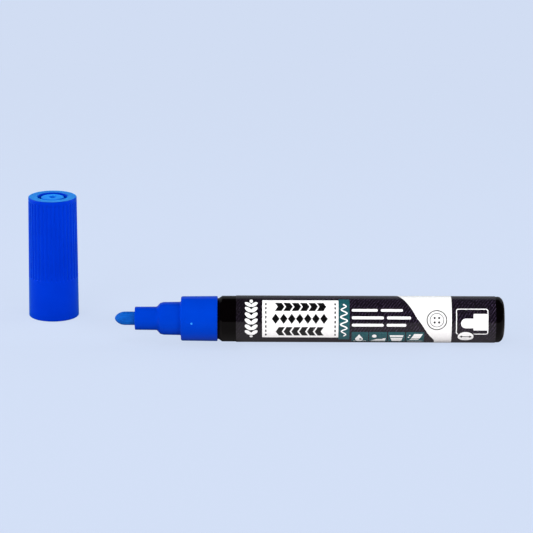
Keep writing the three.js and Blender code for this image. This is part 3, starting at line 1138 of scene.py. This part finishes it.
def inside(points, outline):
    """Which of the points lie inside the outline."""
    x, s = points.T
    hit = np.zeros(len(points), bool)
    for (x_from, s_from), (x_to, s_to) in zip(outline, outline[1:] + outline[:1]):
        if s_from != s_to:
            crosses = (s_from > s) != (s_to > s)
            hit ^= crosses & (x < (x_to - x_from) * (s - s_from) / (s_to - s_from) + x_from)
    return hit


def flat_ink(places, triangles):
    """A flat sheet of the triangles, cut into strips along the pen."""
    bm = bmesh.new()
    verts = {}
    for triangle in triangles.tolist():
        for i in triangle:
            if i not in verts:
                verts[i] = bm.verts.new((places[i][0], places[i][1], 0))
        try:
            bm.faces.new([verts[i] for i in triangle])
        except ValueError:
            pass  # guards against a repeated or collapsed triangle
    s_values = [vert.co.y for vert in bm.verts]
    k = math.ceil(min(s_values) / ROLL_STEP)
    while k * ROLL_STEP < max(s_values):
        bmesh.ops.bisect_plane(bm, geom=bm.verts[:] + bm.edges[:] + bm.faces[:], dist=1e-5,
                               plane_co=(0, k * ROLL_STEP, 0), plane_no=(0, 1, 0))
        k += 1
    return bm


def wrap(flat, name):
    """Rolls flat ink round the film and closes it into a thin solid."""
    bm = bmesh.new()
    low, high = {}, {}
    flat.verts.index_update()
    for vert in flat.verts:
        if not vert.link_faces:
            continue
        angle = vert.co.y / FILM_R
        low[vert.index] = bm.verts.new(on_pen(vert.co.x, FILM_R - INK_LIFT, angle))
        high[vert.index] = bm.verts.new(on_pen(vert.co.x, FILM_R + INK_LIFT, angle))
    directed = set()
    for face in flat.faces:
        ids = [vert.index for vert in face.verts]
        if face.normal.z < 0:
            ids.reverse()
        try:
            bm.faces.new([high[i] for i in ids])
            bm.faces.new([low[i] for i in reversed(ids)])
        except ValueError:
            continue  # guards against a face that the cuts have repeated
        for pair in zip(ids, ids[1:] + ids[:1]):
            directed.add(pair)
    for i, j in directed:
        if (j, i) not in directed:
            bm.faces.new((high[j], high[i], low[i], low[j]))
    flat.free()
    return finish_mesh(name, bm, sharp_deg=40)


def build_print():
    """Triangulates all shapes together and gives each triangle to the last shape that covers it."""
    points, edges = [], []
    for _, outline in ink_shapes:
        start = len(points)
        for k, point in enumerate(outline):
            points.append(Vector(point))
            edges.append((start + k, start + (k + 1) % len(outline)))
    verts, _, faces, _, _, _ = delaunay_2d_cdt(points, edges, [], 0, 1e-5)
    places = np.array([(vert.x, vert.y) for vert in verts])
    triangles = np.array([face for face in faces if len(face) == 3])
    centres = places[triangles].mean(axis=1)
    codes = {BARE: 0, WHITE: 1, TEAL: 2, BLACK: 3}
    owner = np.zeros(len(triangles), int)
    for colour, outline in ink_shapes:
        owner[inside(centres, outline)] = codes[colour]
    for colour, material in INKS.items():
        flat = flat_ink(places, triangles[owner == codes[colour]])
        dress(wrap(flat, "print_" + colour), material, "pen", "printed_film")


build_print()

# ------------------------------------------------------------------ floor

BACKDROP = srgb(209, 221, 243)


def make_floor_material():
    """Seen by the camera the floor is nearly a plain backdrop. Other rays meet a dim glow, a painted stand-in
    for the light the floor throws back, with painted shade under the pen and the cap.
    """
    mat = bpy.data.materials.new("floor_pale")
    m = Nodes(mat)

    def smoothstep(value, span, to):
        return m.remap(value, span=span, to=to, kind="SMOOTHSTEP")

    def distance(across, deep):
        return m.math("SQRT", m.math("ADD", m.math("POWER", across, 2.0), m.math("POWER", deep, 2.0)))

    place = m.split(m.add("ShaderNodeNewGeometry").outputs["Position"])
    x, y = place["X"], place["Y"]

    # Painted shade: the glow is darkest where the pen and the cap stand over it, and it is painted dimmer
    # behind than in front.
    past_pen = m.math("MAXIMUM", m.math("SUBTRACT", x, 0.0), m.math("SUBTRACT", -0.125, x))
    pen_gap = distance(m.math("ABSOLUTE", y), m.math("MAXIMUM", past_pen, 0.0))
    cap_gap = distance(m.math("SUBTRACT", x, CAP[0] * MM), m.math("SUBTRACT", y, CAP[1] * MM))
    painted_shade = m.math(
        "MULTIPLY",
        smoothstep(pen_gap, span=(0.0005, 0.0085), to=(0.04, 1.0)),
        smoothstep(cap_gap, span=(0.0085, 0.016), to=(0.25, 1.0)),
    )
    painted_falloff = smoothstep(y, span=(-0.012, 0.02), to=(0.55, 0.16))
    # Painted light: the floor glows for rays other than the camera's, standing in for the light it throws
    # back.
    glow = m.shader("ShaderNodeEmission", Color=(1.0, 0.95, 0.97, 1),
                    Strength=m.math("MULTIPLY", painted_shade, painted_falloff))

    # Real shading is mixed in near the pen and fades out with distance.
    away = distance(m.math("ABSOLUTE", m.math("ADD", x, 0.077)), m.math("ABSOLUTE", y))
    fade = (0.12, 0.42)
    paper = m.shader("ShaderNodeEmission", Color=BACKDROP,
                     Strength=smoothstep(away, span=fade, to=(1.015, 1.0)))
    lit = m.shader("ShaderNodeBsdfDiffuse", Color=srgb(205, 217, 240))
    seen = m.mix_shaders(smoothstep(away, span=fade, to=(0.12, 0.0)), paper, lit)

    path = m.add("ShaderNodeLightPath")
    output = m.add("ShaderNodeOutputMaterial")
    m.feed(output.inputs[0], m.mix_shaders(path.outputs["Is Camera Ray"], glow, seen))
    return mat


def make_floor():
    """A wide floor with a shallow hollow under the path of the closing cap, which is wider than
    the pen and needs room for its rim."""
    drop, hollow = 0.03, 0.85
    grid_x = [-3077, -1500, -600, -300, -196, -188, -86, -84, -40, 20, 120, 400, 1300, 2923]
    grid_y = [-3000, -1300, -500, -150, -40, -11, -7, 7, 11, 40, 150, 500, 1300, 3000]
    bm = bmesh.new()
    grid = []
    for y in grid_y:
        row = []
        for x in grid_x:
            sunk = hollow if -190 < x < -85 and -8 < y < 8 else 0.0
            row.append(bm.verts.new((x, y, TABLE_Z - drop - sunk)))
        grid.append(row)
    for near, far in zip(grid, grid[1:]):
        for i in range(len(grid_x) - 1):
            bm.faces.new((near[i], near[i + 1], far[i + 1], far[i]))
    floor = finish_mesh("studio_floor", bm, recalc=False)
    floor.data.materials.append(make_floor_material())


make_floor()

# ------------------------------------------------------------------ light


def make_world():
    """A plain backdrop to the camera and a very dim sky to everything else."""
    world = bpy.data.worlds.new("studio_world")
    scene.world = world
    m = Nodes(world)
    path = m.add("ShaderNodeLightPath")
    dim = m.shader("ShaderNodeBackground", Color=(0.9, 0.95, 1.0, 1), Strength=0.02)
    seen = m.shader("ShaderNodeBackground", Color=BACKDROP)
    output = m.add("ShaderNodeOutputWorld")
    m.feed(output.inputs[0], m.mix_shaders(path.outputs["Is Camera Ray"], dim, seen))


make_world()

FOCUS = Vector((-0.078, 0.0, 0.0))
PURE = (1, 1, 1)
COOL = (0.94, 0.98, 1.0)
COLD = (0.90, 0.95, 1.0)

# Rectangular lights aimed at FOCUS: name, azimuth and elevation in degrees, distance, width and
# height in metres, watts, colour, and the rays that see it. Azimuth 0 is the camera's side and
# 90 is the tail's side.
SOFTBOXES = [
    ("fill_front_left", -34, 18, 1.1, 0.7, 0.6, 7.3, PURE, "diffuse"),
    ("fill_front_right", 38, 14, 1.1, 0.7, 0.6, 6.9, PURE, "diffuse"),
    ("fill_top", -10, 66, 1.1, 0.7, 0.6, 3.2, PURE, "diffuse"),
    ("side_left", -104, 22, 0.9, 0.9, 0.66, 8.0, COOL, "diffuse"),
    ("side_left_sheen", -104, 22, 0.9, 0.30, 0.50, 1.0, PURE, "glossy"),
    ("side_right", 104, 22, 0.9, 0.9, 0.66, 7.6, COOL, "diffuse"),
    ("side_right_sheen", 104, 22, 0.9, 0.30, 0.50, 1.0, PURE, "glossy"),
    ("back_card", 180, 24, 0.85, 1.6, 0.68, 1.0, COLD, "both"),
]


def softbox(name, azimuth, elevation, distance, width, height, watts, colour, rays):
    turn, lift = math.radians(azimuth), math.radians(elevation)
    outward = Vector((
        math.sin(turn) * math.cos(lift), -math.cos(turn) * math.cos(lift), math.sin(lift)
    ))
    data = bpy.data.lights.new(name, "AREA")
    data.shape = "RECTANGLE"
    data.size, data.size_y = width, height
    data.energy = watts
    data.color = colour
    obj = bpy.data.objects.new(name, data)
    scene.collection.objects.link(obj)
    obj.location = FOCUS + outward * distance
    obj.rotation_mode = "QUATERNION"
    obj.rotation_quaternion = (-outward).to_track_quat("-Z", "Y")
    obj.visible_camera = False
    obj.visible_glossy = rays != "diffuse"
    obj.visible_diffuse = rays != "glossy"


for light in SOFTBOXES:
    softbox(*light)

# ------------------------------------------------------------------ camera

CAMERA_AIM = Vector((-0.07675, 0.0, 0.01754))
CAMERA_ELEVATION = math.radians(15.88)
CAMERA_DISTANCE = 1.078
CAMERA_ROLL = math.radians(0.2)


def make_camera():
    data = bpy.data.cameras.new("camera")
    data.lens = 226.3
    data.sensor_width = 36
    data.clip_start, data.clip_end = 0.05, 50
    camera = bpy.data.objects.new("camera", data)
    scene.collection.objects.link(camera)
    back = Vector((0, -math.cos(CAMERA_ELEVATION), math.sin(CAMERA_ELEVATION)))
    camera.location = CAMERA_AIM + back * CAMERA_DISTANCE
    camera.rotation_mode = "QUATERNION"
    roll = Matrix.Rotation(CAMERA_ROLL, 3, back)
    facing = (-back).to_track_quat("-Z", "Y").to_matrix()
    camera.rotation_quaternion = (roll @ facing).to_quaternion()
    scene.camera = camera


make_camera()

view = scene.view_settings
view.view_transform = "Standard"
view.look = "None"
view.exposure = 0.0
view.gamma = 1.0
